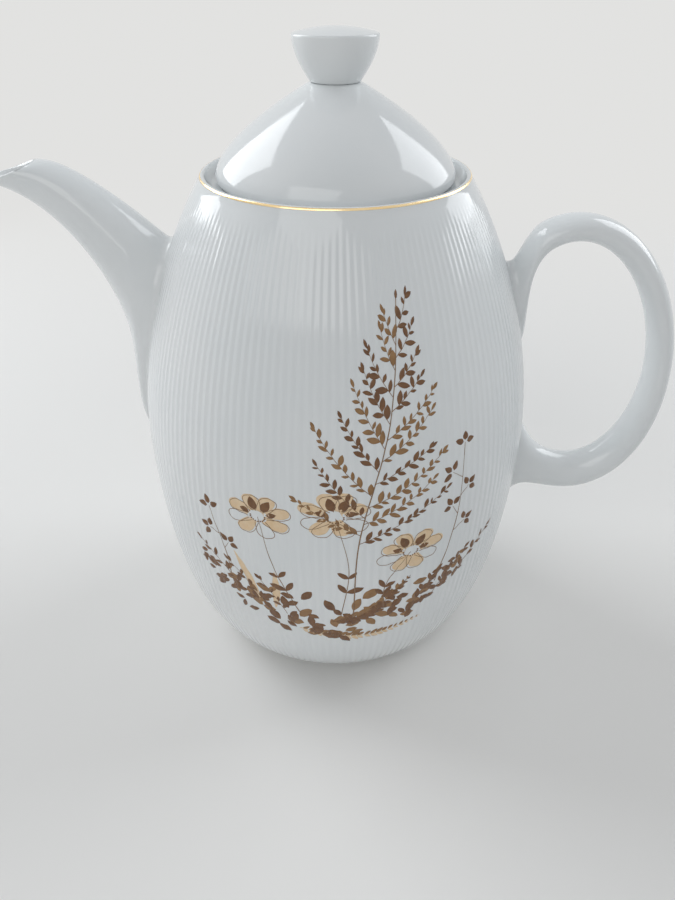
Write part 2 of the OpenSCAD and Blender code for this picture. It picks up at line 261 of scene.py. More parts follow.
# ---------------------------------------------------------------- materials
class Nodes:
    """A short way to write a node tree."""

    def __init__(self, name):
        self.material = bpy.data.materials.new(name)
        self.material.use_nodes = True
        self.tree = self.material.node_tree
        self.shader = self.tree.nodes["Principled BSDF"]

    def add(self, kind, **values):
        node = self.tree.nodes.new(kind)
        for key, value in values.items():
            if key in node.inputs:
                node.inputs[key].default_value = value
            else:
                setattr(node, key, value)
        return node

    def link(self, start, end):
        self.tree.links.new(start, end)

    def place(self):
        """The object's own coordinates, in metres."""
        return self.add("ShaderNodeTexCoord").outputs["Object"]

    def noise(self, scale, detail, roughness=0.5):
        node = self.add("ShaderNodeTexNoise", Scale=scale, Detail=detail, Roughness=roughness)
        self.link(self.place(), node.inputs["Vector"])
        return node.outputs["Fac"]

    def ramp(self, value, stops):
        """Colours for a value, from stops of (position, colour)."""
        node = self.add("ShaderNodeValToRGB")
        elements = node.color_ramp.elements
        for i, (position, colour) in enumerate(stops):
            element = elements[i] if i < len(elements) else elements.new(position)
            element.position, element.color = position, (*colour, 1)
        self.link(value, node.inputs["Fac"])
        return node.outputs["Color"]

    def mottle(self, socket, noise, stops):
        """Noise, turned into colours or grey values, drives one of the shader's inputs."""
        self.link(self.ramp(noise, stops), self.shader.inputs[socket])

    def calculate(self, operation, first, second):
        node = self.add("ShaderNodeMath", operation=operation)
        self.link(first, node.inputs[0])
        self.link(second, node.inputs[1])
        return node.outputs[0]

    def smooth_step(self, value, low, high):
        """0 below low, 1 above high, and a soft step between them."""
        node = self.add("ShaderNodeMapRange", interpolation_type="SMOOTHSTEP")
        node.inputs["From Min"].default_value = low
        node.inputs["From Max"].default_value = high
        self.link(value, node.inputs["Value"])
        return node.outputs["Result"]

    def bump(self, height, distance, strength):
        node = self.add("ShaderNodeBump", Strength=strength, Distance=distance)
        self.link(height, node.inputs["Height"])
        self.link(node.outputs["Normal"], self.shader.inputs["Normal"])

    def spots(self, factor, ground, colour):
        """The colour where factor is 1, and the colours of ground elsewhere."""
        node = self.add("ShaderNodeMix", data_type="RGBA")
        colour_a, colour_b, result = node.inputs[6], node.inputs[7], node.outputs[2]
        self.link(factor, node.inputs["Factor"])
        self.link(ground, colour_a)
        colour_b.default_value = (*colour, 1)
        return result


def grey(value):
    return (value, value, value)


GLASSY = 1.52           # the glaze's index of refraction
SPECK_R = 0.012         # of a speck's cell


def glaze(name, speck_seed):
    """Cool white porcelain under clear gloss: faint cloudiness, a slightly uneven gloss
    and rare iron specks."""
    n = Nodes(name)
    cloud = n.ramp(n.noise(28, 4), [(0.3, (0.735, 0.765, 0.775)), (0.7, (0.775, 0.795, 0.800))])
    cell = n.add("ShaderNodeTexVoronoi", Scale=46.0, Randomness=1.0)
    shift = n.add("ShaderNodeMapping")
    shift.inputs["Location"].default_value = (speck_seed, 0.3, 0.7)
    n.link(n.place(), shift.inputs["Vector"])
    n.link(shift.outputs["Vector"], cell.inputs["Vector"])
    near = n.add("ShaderNodeMath", operation="LESS_THAN")
    n.link(cell.outputs["Distance"], near.inputs[0])
    near.inputs[1].default_value = SPECK_R
    speckled = n.spots(near.outputs[0], cloud, (0.16, 0.15, 0.15))
    n.link(speckled, n.shader.inputs["Base Color"])
    n.mottle("Roughness", n.noise(60, 3), [(0.3, grey(0.07)), (0.7, grey(0.12))])
    n.shader.inputs["IOR"].default_value = GLASSY
    n.bump(n.noise(130, 2), 0.00006, 0.5)
    return n.material


def biscuit(name):
    """Unglazed, faintly gritty porcelain."""
    n = Nodes(name)
    n.mottle("Base Color", n.noise(400, 6), [(0.3, (0.62, 0.60, 0.56)), (0.7, (0.72, 0.70, 0.66))])
    n.shader.inputs["Roughness"].default_value = 0.75
    n.bump(n.noise(2600, 4), 0.00008, 0.6)
    return n.material


def ink(name, deep, pale):
    """Fired enamel of a transfer print: two strengths of one colour, under gloss."""
    n = Nodes(name)
    n.mottle("Base Color", n.noise(420, 5, 0.65), [(0.32, deep), (0.72, pale)])
    n.mottle("Roughness", n.noise(900, 3), [(0.3, grey(0.10)), (0.7, grey(0.20))])
    n.shader.inputs["IOR"].default_value = GLASSY
    n.bump(n.noise(1800, 3), 0.00002, 0.5)
    return n.material


def gold(name):
    """Thin fired gold with fine brush marks and a few worn, paler places."""
    n = Nodes(name)
    n.shader.inputs["Metallic"].default_value = 1.0
    worn = [(0.3, (0.88, 0.64, 0.32)), (0.75, (0.97, 0.80, 0.52))]
    n.mottle("Base Color", n.noise(90, 5, 0.6), worn)
    n.mottle("Roughness", n.noise(240, 4), [(0.3, grey(0.16)), (0.7, grey(0.30))])
    n.bump(n.noise(1500, 3), 0.00002, 0.6)
    return n.material


# ---------------------------------------------------------------- body
def body_profile():
    """The body's section in two lists: from the axis under the foot, up the outside and over the
    lip; and from there down the lid's seat and the inside, to the axis on the floor."""
    floor_z = FOOT_RECESS + FLOOR_T
    ledge_z = SEAT_Z - LEDGE_T
    ledge_foot_z = ledge_z - (cavity_r(ledge_z) - LEDGE_R) * LEDGE_SLOPE
    inside_foot = FOOT_R - FOOT_W
    near, up = 0.2, 0.15        # a point halfway round the foot ring's edges
    foot = [(0, FOOT_RECESS), (FOOT_R / 2, FOOT_RECESS), (inside_foot - 1.5, FOOT_RECESS),
            (inside_foot - near, 2 * FOOT_ROUND), (inside_foot, FOOT_ROUND),
            (inside_foot + near, up), (inside_foot + FOOT_ROUND, 0),
            (FOOT_R - FOOT_ROUND, 0), (FOOT_R - near, up), (FOOT_R, FOOT_ROUND)]
    steps = 52
    outside = [p for p in outline(0, steps) if p[1] < LIP_C[1] - 0.05]
    lip = arc(LIP_C, LIP_T / 2, 0, 180, 12)
    corner, hollow = 0.5, 0.3   # how round the ledge's edge and the channel's corner are
    channel_r = LID_R + LID_GAP
    channel = [(channel_r + hollow, SEAT_Z + hollow), (channel_r, SEAT_Z),
               (LEDGE_R + corner, SEAT_Z)]
    ledge = arc((LEDGE_R + corner, SEAT_Z - corner), corner, 90, 180, 4)[1:]
    ledge += arc((LEDGE_R + corner, ledge_z + corner), corner, 180, 240, 3)
    inside = [p for p in outline(WALL_T, steps) if floor_z + 3 < p[1] < ledge_foot_z][::-1]
    bend_r = cavity_r(floor_z + 2)
    floor = [(bend_r - 2.4, floor_z + 0.4), (bend_r - 6, floor_z), (bend_r / 2, floor_z),
             (0, floor_z)]
    ledge_foot = [(cavity_r(ledge_foot_z), ledge_foot_z)]
    return foot + outside + lip, channel + ledge + ledge_foot + inside + floor


def pot_shell(material, foot_material):
    """The fluted outside has fine columns, and the plain inside a quarter as many."""
    outside, inside = body_profile()
    fine = FLUTES * FLUTE_STEPS
    share = 4
    coarse = fine // share
    highest = LIP_C[1]

    def cut(angle, r, z):
        return flute(angle, z) if r > FOOT_R and z < highest else 0

    points, faces = lathe(outside, fine, cut)
    last = len(points) - fine
    more, more_faces = lathe(inside, coarse)
    shift = len(points)
    points += more
    faces += [[v + shift for v in face] for face in more_faces]
    for k in range(coarse):
        n = (k + 1) % coarse
        edge = [last + (share * k + i) % fine for i in range(share + 1)]
        faces.append(edge + [shift + n, shift + k])
    piece = make_piece("pot_shell", points, faces, material, "pot")
    piece.data.materials.append(foot_material)
    for polygon in piece.data.polygons:
        centre = np.array(polygon.center) / MM - AXIS
        if centre[2] < BARE_H and math.hypot(centre[0], centre[1]) > FOOT_R - FOOT_W - 1:
            polygon.material_index = 1
    drill(piece)
    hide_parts("pot_body")


def drill(piece):
    """Cuts the pouring hole through the wall behind the spout."""
    pour_z = ROOT_LOW + POUR_SHARE * ROOT_H
    place = AXIS + [WALL_T / 2 - body_r(pour_z), 0, pour_z]
    bpy.ops.mesh.primitive_cylinder_add(vertices=64, radius=POUR_D / 2 * MM,
                                        depth=POUR_DEPTH * MM, location=place * MM,
                                        rotation=(0, math.pi / 2, 0))
    cutter = bpy.context.object
    modifier = piece.modifiers.new("pouring_hole", "BOOLEAN")
    modifier.object, modifier.operation, modifier.solver = cutter, "DIFFERENCE", "EXACT"
    bpy.context.view_layer.objects.active = piece
    bpy.ops.object.modifier_apply(modifier=modifier.name)
    bpy.data.objects.remove(cutter)


def gold_line(material):
    """A thin fired line over the outer top edge of the lip."""
    start, end, steps, columns = 12, 58, 10, 360
    proud, sunk = 0.03, 0.05
    outer = arc(LIP_C, LIP_T / 2 + proud, start, end, steps)
    inner = arc(LIP_C, LIP_T / 2 - sunk, end, start, steps)
    section = outer + inner
    rings = []
    for k in range(columns):
        angle = 2 * math.pi * k / columns
        rings.append([(r * math.cos(angle), r * math.sin(angle), z) for r, z in section])
    points, faces = tube(rings, closed=True)
    faces = [face[::-1] for face in faces]
    make_piece("gold_line", points, faces, material, "pot")


# ---------------------------------------------------------------- spout
SPOUT_TIP = np.array([-BELLY_R - SPOUT_REACH, BODY_H - MOUTH_DROP])
MOUTH_BACK = SPOUT_TIP + [MOUTH_L, MOUTH_RISE]
ROOT_TOP = BODY_H - SPOUT_DROP
ROOT_LOW = ROOT_TOP - ROOT_H
NECK_TOP = np.array([-body_r(ROOT_TOP) - NECK_OUT, ROOT_TOP + NECK_UP])
NECK_LOW = np.array([-BELLY_R - 0.5 * PROUD, ROOT_LOW + NECK_LOW_SHARE * ROOT_H])
NECK_W = mix(ROOT_W, MOUTH_W, 0.3)
TOP_LINE = (NECK_TOP, *[mix(NECK_TOP, MOUTH_BACK, along) + [0, up] for along, up in TOP_BOWS],
            MOUTH_BACK)
LOW_LINE = (NECK_LOW, NECK_LOW + LOW_PULL, SPOUT_TIP + TIP_PULL, SPOUT_TIP)


def spout_free(s, a, inset):
    """Point at angle a of the spout's free part at station s."""
    top, low = offset(TOP_LINE, s, inset), offset(LOW_LINE, s, -inset)
    width = mix(NECK_W, MOUTH_W, 1 - (1 - s) ** THINNING) - inset
    p = (top + low) / 2 + (top - low) / 2 * math.cos(a)
    taper = mix(NECK_TAPER, MOUTH_TAPER, s * s)
    return np.array([p[0], width * math.sin(a) * (1 + taper * math.cos(a)), p[1]])


def spout_root(a, inset, lift=0.0, grow=0.0):
    """Point at angle a of the root's edge on the body. The tail of the root is solid."""
    low, high = ROOT_LOW + TAIL_FILL * inset - grow, ROOT_TOP - HEAD_FILL * inset + grow
    z = (high + low) / 2 + (high - low) / 2 * math.cos(a)
    y = (ROOT_W - inset + grow) * math.sin(a) * (1 + ROOT_TAPER * math.cos(a)) / ROOT_FULL
    return on_body(-1, y, z, lift)


def spout_way(s, a, inset):
    """Point at angle a on the way from the root to the free part. It leaves the body most
    boldly at the tail, and arrives along the free part."""
    p0, p3 = spout_root(a, inset), spout_free(0, a, inset)
    away = spout_free(0.01, a, inset) - p3
    away /= np.linalg.norm(away)
    lift = (1 if inset > 0 else PROUD) * (0.55 - 0.45 * math.cos(a))
    p1 = p0 + [-lift, 0, 0.4 * lift]
    p2 = p3 - np.linalg.norm(p3 - p0) * 0.33 * away
    return curve(p0, p1, p2, p3, s)


def fillet(way, edge, middle, reach, steps):
    """Points of a concave fillet from edge, on the body, to the place way(s) that lies reach
    from middle, the sharp corner between them."""
    s = 0.0
    while s < 0.6 and np.linalg.norm(way(s) - middle) < reach:
        s += 0.01
    end = way(s)
    bent = [(1 - t) ** 2 * edge + 2 * (1 - t) * t * middle + t * t * end
            for t in (i / steps for i in range(steps))]
    return bent, s


def spout(material):
    sides, way_rings, free_rings, bend_steps, lip_steps = 64, 22, 40, 6, 8
    tail_reach, head_reach = 1.6, 3.0       # of the fillet
    angles = [2 * math.pi * j / sides for j in range(sides)]
    columns = []
    for a in angles:
        reach = mix(tail_reach, head_reach, 0.5 + 0.5 * math.cos(a))
        edge = spout_root(a, 0, -SUNK, grow=reach * SPREAD)
        bent, s0 = fillet(lambda s: spout_way(s, a, 0), edge, spout_root(a, 0), reach, bend_steps)
        outer = bent + [spout_way(mix(s0, 1, i / way_rings), a, 0) for i in range(way_rings)]
        outer += [spout_free(i / free_rings, a, 0) for i in range(free_rings)]
        tip = spout_free(1, a, 0)
        below = spout_free(0.98, a, 0) - tip
        below /= np.linalg.norm(below)
        inner_tip = spout_free(1, a, MOUTH_T)
        lip = []
        for i in range(lip_steps + 1):
            turn = math.pi * i / lip_steps
            along = mix(tip, inner_tip, 0.5 - 0.5 * math.cos(turn))
            lip.append(along + below * MOUTH_T / 2 * (1 - math.sin(turn)))
        inner = []
        rings = way_rings + free_rings
        for i in range(rings - 1, -1, -1):
            inset = mix(SPOUT_T, MOUTH_T, i / rings)
            if i >= way_rings:
                inner.append(spout_free((i - way_rings) / free_rings, a, inset))
            else:
                inner.append(spout_way(i / way_rings, a, inset))
        inner.append(spout_root(a, SPOUT_T, -SUNK))
        columns.append(outer + lip + inner)
    rings = [[column[i] for column in columns] for i in range(len(columns[0]))]
    points, faces = tube(rings, closed=True)
    piece = make_piece("spout_shell", points, faces, material, "pot")
    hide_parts("spout")


# ---------------------------------------------------------------- handle
LOOP_C = np.array([BELLY_R + HANDLE_REACH - HANDLE_DEPTH - STRAP_T / 2, BODY_H - HANDLE_DROP])
UPPER_END, LOWER_END = math.radians(118), math.radians(-80)


def loop_point(t):
    """The middle of the strap at loop angle t, as (x, z)."""
    return LOOP_C + [HANDLE_DEPTH * math.cos(t), HANDLE_RISE * math.sin(t - HANDLE_LEAN)]


def loop_heading(t):
    h = np.array([HANDLE_DEPTH * math.sin(t), -HANDLE_RISE * math.cos(t - HANDLE_LEAN)])
    return h / np.linalg.norm(h)


def strap_point(t, a):
    """Point at loop angle t and ring angle a; a = 0 is on the outside of the loop."""
    grown = ease((math.radians(10) - t) / math.radians(95))
    half = mix(STRAP_T, STRAP_LOW_T, grown) / 2
    h = loop_heading(t)
    p = loop_point(t) + half * math.cos(a) * np.array([-h[1], h[0]])
    return np.array([p[0], STRAP_W / 2 * math.sin(a), p[1]])


UPPER_ROOT_Z = loop_point(UPPER_END)[1] - UPPER_ROOT_H / 2 - UPPER_ROOT_DROP
LOWER_ROOT_Z = loop_point(LOWER_END)[1] + LOWER_ROOT_H / 2 - LOWER_ROOT_DROP


def handle_root(up, a, lift=0.0, grow=0.0):
    """Edge of a root on the body; up is 1 at the upper root and -1 at the lower one."""
    z, height = (UPPER_ROOT_Z, UPPER_ROOT_H) if up > 0 else (LOWER_ROOT_Z, LOWER_ROOT_H)
    y = (HANDLE_ROOT_W / 2 + grow) * math.sin(a)
    return on_body(1, y, z + up * (height / 2 + grow) * math.cos(a), lift)


def handle_way(up, a, s):
    """Point at angle a on the way from a root to the strap: it rises off the body, sloping
    more on one side than on the other, and arrives along the strap."""
    t = UPPER_END if up > 0 else LOWER_END
    p0, p3 = handle_root(up, a), strap_point(t, a)
    h = up * loop_heading(t)
    c = math.cos(a)
    rise = HANDLE_PROUD * (0.95 + 0.25 * c if up > 0 else 1.3 + 0.3 * c)
    pull = np.linalg.norm(p3 - p0) * (0.37 if up > 0 else 0.5)
    slope = 0.9 - 1.33 * c + 0.47 * c * c if up > 0 else 0.53 + 2.38 * c
    p1 = p0 + [rise, 0, slope * rise]
    p2 = p3 - pull * np.array([h[0], 0, h[1]])
    return curve(p0, p1, p2, p3, s)


def handle_end(up, angles):
    """Rings from inside the body's wall, over the fillet, to the end of the strap."""
    steps, bend_steps = 26, 6
    cap_middle = handle_root(up, 0.5 * math.pi, -CAP_SUNK) * [1, 0, 1]
    columns = []
    for a in angles:
        reach = 1.7 + 0.9 * math.cos(a) if up > 0 else 2.0
        edge, corner = handle_root(up, a, -SUNK, grow=reach * SPREAD), handle_root(up, a)
        bent, s0 = fillet(lambda s: handle_way(up, a, s), edge, corner, reach, bend_steps)
        cap = [mix(cap_middle, handle_root(up, a, -CAP_SUNK), share) for share in (0.02, 0.6)]
        way = [handle_way(up, a, mix(s0, 1, i / steps)) for i in range(steps)]
        columns.append(cap + bent + way)
    return [[column[i] for column in columns] for i in range(len(columns[0]))]


def handle(material):
    sides, strap_rings = 56, 110
    angles = [2 * math.pi * j / sides for j in range(sides)]
    rings = handle_end(1, angles)
    for i in range(strap_rings + 1):
        t = mix(UPPER_END, LOWER_END, i / strap_rings)
        rings.append([strap_point(t, a) for a in angles])
    rings += handle_end(-1, angles)[::-1]
    points, faces = tube(rings)
    last = (len(rings) - 1) * sides
    faces = [face[::-1] for face in faces]
    faces += [list(range(sides)), [last + j for j in range(sides)][::-1]]
    piece = make_piece("handle_strap", points, faces, material, "pot")
    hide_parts("handle")


# ---------------------------------------------------------------- lid and knob
def lid_profile():
    """The lid's closed section: the dome's underside from the axis outwards, the collar, the
    flange's rounded edge, the dome, and the crease under the knob."""
    edge, neck = np.array([LID_R, SEAT_Z + LID_EDGE_H]), np.array([NECK_R, NECK_Z])
    dome_line = (edge, edge + [-2, 7.4], neck + [12.9, -7.1], neck)
    steps, under_steps = 56, 40
    groove = 0.35       # half of the crease under the knob
    dome = [curve(*dome_line, i / steps) for i in range(steps)]
    under = [offset(dome_line, i / under_steps, LID_T) for i in range(4, under_steps - 4)]
    under = [p for p in under if p[0] < COLLAR_R - COLLAR_T - 0.4]
    bend = LID_EDGE_H * 0.7
    rounding = arc((LID_R - bend, SEAT_Z + bend), bend, -90, 0, 10)
    inner = COLLAR_R - COLLAR_T
    bottom = SEAT_Z - COLLAR_H
    edge_r = 0.8        # how round the collar's lower edges are
    collar = [(inner, SEAT_Z + 2), (inner, bottom + edge_r)]
    collar += arc((inner + edge_r, bottom + edge_r), edge_r, 180, 270, 4)[1:]
    collar += arc((COLLAR_R - edge_r, bottom + edge_r), edge_r, 270, 360, 4)
    collar += [(COLLAR_R, SEAT_Z - 0.6), (COLLAR_R + 0.2, SEAT_Z - 0.15), (COLLAR_R + 0.6, SEAT_Z)]
    top = [(NECK_R - groove, NECK_Z - 0.05), (0, NECK_Z - 0.05)]
    return [(0, NECK_Z - LID_T - 1.5)] + under[::-1] + collar + rounding + dome + top


def lid_shell(material):
    columns = 240
    points, faces = lathe(lid_profile(), columns)
    piece = make_piece("lid_shell", points, faces, material, "lid")
    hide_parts("lid")


def knob(material):
    side_steps, top_steps, columns = 36, 16, 200
    shoulder = np.array([KNOB_R, KNOB_H - KNOB_DOME - KNOB_EDGE])
    foot = np.array([NECK_R, 0.45])
    side_line = (foot, foot + [2.2, 3.0], shoulder - [0.3, 4.4], shoulder)
    side = [curve(*side_line, i / side_steps) for i in range(side_steps + 1)]
    edge = arc(shoulder - [KNOB_EDGE, 0], KNOB_EDGE, 8, 84, 8)
    top = []
    for i in range(1, top_steps + 1):
        out = 1 - i / top_steps
        top.append(((KNOB_R - KNOB_EDGE) * out, KNOB_H - KNOB_DOME * out ** 2))
    profile = [(0, 0), (NECK_R - 0.7, 0), (NECK_R - 0.3, 0.12), *side, *edge, *top]
    points, faces = lathe([(r, z + NECK_Z) for r, z in profile], columns)
    piece = make_piece("knob_solid", points, faces, material, "lid")
    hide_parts("lid_knob")


# ---------------------------------------------------------------- transfer print
class Print:
    """Flat shapes laid on the fluted front, as thin fired films. A place is (u, z): millimetres
    of belly to the right of the front's middle, and the height."""

    STEP = 0.55             # longest mesh edge, so that films follow the flutes
    THICKNESS = 0.12
    NARROW = 0.03           # least half width of a film

    def __init__(self):
        self.inks = {name: ([], []) for name in ("dark", "brown", "tan", "line")}
        self.lift = {"tan": 0.03, "brown": 0.045, "dark": 0.055, "line": 0.065}

    def strip(self, tone, middle, across, widths, rows=2):
        """A film along middle, a list of (u, z), reaching widths[i] to each side of it."""
        points, faces = self.inks[tone]
        start = len(points)
        n = rows + 1
        for p, a, w in zip(middle, across, widths):
            for k in range(n):
                points.append(p + a * w * (2 * k / rows - 1))
        for i in range(len(middle) - 1):
            for k in range(rows):
                a = start + i * n + k
                faces.append([a, a + 1, a + n + 1, a + n])

    def leaf(self, tone, place, angle, length, width, bend=0.0, round_end=0.5):
        """A leaf from its stalk end; round_end 0.5 is pointed at both ends, and more makes its
        tip fuller."""
        skew = 1 / (0.5 + round_end)
        steps = max(4, int(length / self.STEP))
        middle, across, widths = [], [], []
        p, a = np.array(place, float), angle
        for i in range(steps + 1):
            t = i / steps
            h = np.array([math.cos(a), math.sin(a)])
            middle.append(p.copy())
            across.append(np.array([-h[1], h[0]]))
            full = math.sin(math.pi * t ** skew) ** 0.75
            widths.append(max(self.NARROW, width / 2 * full))
            p = p + h * length / steps
            a += bend / steps
        rows = max(2, int(math.ceil(width / self.STEP)))
        self.strip(tone, middle, across, widths, rows)

    def stem(self, tone, places, width, taper=0.4):
        """A fine line through places, smoothed, and thinner towards its end. Returns its
        points and their directions."""
        places = [np.array(p, float) for p in places]
        path = [places[0]]
        ends = [2 * places[0] - places[1], *places, 2 * places[-1] - places[-2]]
        for p0, p1, p2, p3 in zip(ends, ends[1:], ends[2:], ends[3:]):
            count = max(3, int(np.linalg.norm(p2 - p1) / self.STEP))
            for i in range(1, count + 1):
                path.append(curve(p1, p1 + (p2 - p0) / 6, p2 - (p3 - p1) / 6, p2, i / count))
        turns = [b - a for a, b in zip(path, path[1:])]
        turns.append(turns[-1])
        across = [np.array([-t[1], t[0]]) / max(np.linalg.norm(t), 1e-9) for t in turns]
        widths = [width / 2 * mix(1, taper, i / len(path)) for i in range(len(path))]
        self.strip(tone, path, across, widths, 1)
        return path, [math.atan2(t[1], t[0]) for t in turns]

    def build(self, tone, material, side):
        """The film of one ink; side 0 is the front and 1 is the back."""
        flat, faces = self.inks[tone]
        turn = side * math.pi * BELLY_R
        count = len(flat)
        lift = self.lift[tone]
        points = [on_print(p[0] + turn, p[1], lift) for p in flat]
        points += [on_print(p[0] + turn, p[1], lift - self.THICKNESS) for p in flat]
        solid = [face[::-1] for face in faces] + [[v + count for v in face] for face in faces]
        edges = dict.fromkeys((a, b) for face in faces for a, b in zip(face, face[1:] + face[:1]))
        solid += [[a, b, b + count, a + count] for a, b in edges if (b, a) not in edges]
        name = f"print_{tone}_{('front', 'back')[side]}"
        make_piece(name, points, solid, material, "pot")


def sprig(art, dice, place, angle, length, leaves, size, bend=0.0, tone="dark"):
    """A fine stem with loose leaves of uneven size, and one at its tip."""
    steps = 6
    path, p, a = [np.array(place, float)], np.array(place, float), angle
    for _ in range(steps):
        p = p + length / steps * np.array([math.cos(a), math.sin(a)])
        a += bend / steps
        path.append(p)
    line, turns = art.stem("line", path, 0.2)
    for i in range(leaves):
        share = (i + dice.uniform(0.6, 1.4)) / (leaves + 0.6)
        at = min(len(line) - 2, int(share * len(line)))
        side = 1 if i % 2 else -1
        spread = side * dice.uniform(0.4, 1.0)
        grow = size * mix(1.15, 0.7, share) * dice.uniform(0.7, 1.25)
        art.leaf(tone, line[at], turns[at] + spread, grow, grow * dice.uniform(0.36, 0.5))
    art.leaf(tone, line[-1], turns[-1], size * 0.8, size * 0.32)


def plume(art, dice, foot, top, reach, count):
    """A tall airy spray: a bent stem with leafy sprigs on alternate sides, longest low down."""
    foot, top = np.array(foot, float), np.array(top, float)
    sway = np.array([0.035 * np.linalg.norm(top - foot), 0])
    places = [foot, mix(foot, top, 0.35) - sway, mix(foot, top, 0.7), top]
    line, turns = art.stem("line", places, 0.45, 0.5)
    for i in range(count):
        share = (i + dice.uniform(-0.25, 0.25)) / (count - 0.5)
        at = int(mix(0.32, 0.95, max(0, share)) * (len(line) - 1))
        side = 1 if i % 2 else -1
        length = reach * mix(1.0, 0.3, share) * dice.uniform(0.8, 1.15)
        angle = turns[at] + side * mix(1.15, 0.6, share) * dice.uniform(0.8, 1.1)
        leaves = max(4, int(length / 1.6))
        tone = "dark" if dice.random() < 0.55 else "brown"
        bend = -side * dice.uniform(0.1, 0.5)
        sprig(art, dice, line[at], angle, length, leaves, 3.3, bend, tone)
    art.leaf("dark", line[-1], turns[-1], 2.4, 1.0)


def petal_edge(turn, length, half):
    """How far out a petal's edge lies, and how far to the side; turn runs from 0 at its root
    to a quarter turn at its tip."""
    return length * math.sin(turn) ** 0.8, half * math.cos(turn) * (0.45 + 0.75 * math.sin(turn))


def petal(art, base, angle, length, half, squash, slip, washed):
    """One petal: its fine outline, and a pale wash that has slipped a little."""
    out = np.array([math.cos(angle), math.sin(angle)])
    across = np.array([-out[1], out[0]]) * squash
    out = out * squash
    steps, wash_steps = 12, 16
    edge = [petal_edge(math.pi * i / steps, length, half) for i in range(steps + 1)]
    art.stem("line", [base + out * far + across * side for far, side in edge], 0.18, 1.0)
    if washed:
        edge = [petal_edge(math.pi / 2 * i / wash_steps, length, half)
                for i in range(wash_steps + 1)]
        middle = [base + slip + out * far for far, side in edge]
        widths = [max(art.NARROW, 0.96 * side) for far, side in edge]
        rows = int(math.ceil(2 * half / art.STEP))
        art.strip("tan", middle, [across] * len(middle), widths, rows)


def flower(art, dice, centre, radius):
    """An open flower seen a little from above: outlined petals, most of them washed, dark spots
    on the upper petals and an arc of dots below the middle."""
    petals, dots = 8, 11
    centre = np.array(centre, float)
    squash = np.array([1.0, 0.74])
    slip = radius * np.array([dice.uniform(-0.1, 0.1), dice.uniform(0.02, 0.1)])
    bare = dice.sample(range(petals // 2, petals), 2)
    for k in range(petals):
        angle = 2 * math.pi * (k + 0.4) / petals + dice.uniform(-0.07, 0.07)
        out = np.array([math.cos(angle), math.sin(angle)])
        base = centre + out * radius * 0.24 * squash
        long = radius * dice.uniform(0.72, 0.82)
        petal(art, base, angle, long, radius * 0.37, squash, slip, k not in bare)
        if k < petals // 2:
            seen = math.atan2(out[1] * squash[1], out[0])
            spot = radius * (0.44 if 0 < k < petals // 2 - 1 else 0.3)
            art.leaf("dark", base + out * radius * 0.06, seen, spot, spot * 0.62, 0, 0.7)
    for k in range(dots):
        a = math.pi * (0.95 + 1.1 * k / (dots - 1))
        dot = centre + radius * 0.2 * np.array([math.cos(a), math.sin(a) * 0.7])
        art.leaf("dark", dot, a, 0.6, 0.5)


def frond(art, dice, foot, tip, arch, pairs, size, tone, second):
    """A narrow arched frond with close leaflets, of the second tone on its upper side."""
    foot, tip = np.array(foot, float), np.array(tip, float)
    middle = (foot + tip) / 2 + [0, arch]
    line, turns = art.stem(tone, [foot, middle, tip], 0.4)
    for i in range(pairs):
        share = (i + 0.5) / pairs
        at = int(share * (len(line) - 1))
        grow = size * math.sin(math.pi * mix(0.3, 0.92, share)) * dice.uniform(0.85, 1.1)
        for side in (1, -1):
            shade = second if side > 0 else tone
            art.leaf(shade, line[at], turns[at] + side * 0.65, grow, grow * 0.46)


def clover(art, dice, foot, tip, heads, size):
    """A bent stem that ends in clusters of three small round leaves."""
    foot, tip = np.array(foot, float), np.array(tip, float)
    line, turns = art.stem("line", [foot, (foot + tip) / 2 + [1.5, -1], tip], 0.3)
    for i in range(heads):
        at = int(mix(0.3, 1, (i + 1) / heads) * (len(line) - 1))
        side = 1 if i % 2 else -1
        a = turns[at] + side * dice.uniform(0.6, 1.0) if i < heads - 1 else turns[at]
        head = line[at] + size * dice.uniform(0.9, 1.4) * np.array([math.cos(a), math.sin(a)])
        art.stem("line", [line[at], head], 0.2)
        for spread in (-1.3, 0, 1.3):
            turn = a + spread
            root = head + 0.2 * size * np.array([math.cos(turn), math.sin(turn)])
            art.leaf("dark", root, turn, size * dice.uniform(0.75, 0.95), size * 0.55, 0, 0.8)


def bank(art, dice, left, right, sag, thick, count):
    """Crowded overlapping leaves along a line that hangs between two ends, thin at both."""
    for i in range(count):
        share = (i + dice.random()) / count
        full = math.sin(math.pi * mix(0.08, 0.92, share))
        u = mix(left[0], right[0], share)
        z = mix(left[1], right[1], share) - sag * math.sin(math.pi * share)
        slope = math.atan2(-sag * math.pi * math.cos(math.pi * share), right[0] - left[0])
        place = np.array([u, z + dice.uniform(-0.5, 0.5) * thick * full])
        angle = slope + dice.uniform(-1.3, 1.3) + (math.pi if dice.random() < 0.3 else 0)
        size = mix(2.8, 5.8, full) * dice.uniform(0.75, 1.2)
        tone = "dark" if dice.random() < 0.65 else "brown"
        art.leaf(tone, place, angle, size, size * dice.uniform(0.44, 0.6), dice.uniform(-0.4, 0.4))


def flower_stem(art, dice, places, size):
    """A stem with two pairs of leaves low down."""
    line, turns = art.stem("line", places, 0.3)
    for share in (dice.uniform(0.22, 0.3), dice.uniform(0.36, 0.44)):
        at = int(share * len(line))
        for side in (1, -1):
            grow = size * dice.uniform(0.75, 1.1)
            art.leaf("dark", line[at], turns[at] + side * dice.uniform(0.6, 1.1), grow, grow * 0.42)
        size *= 0.8


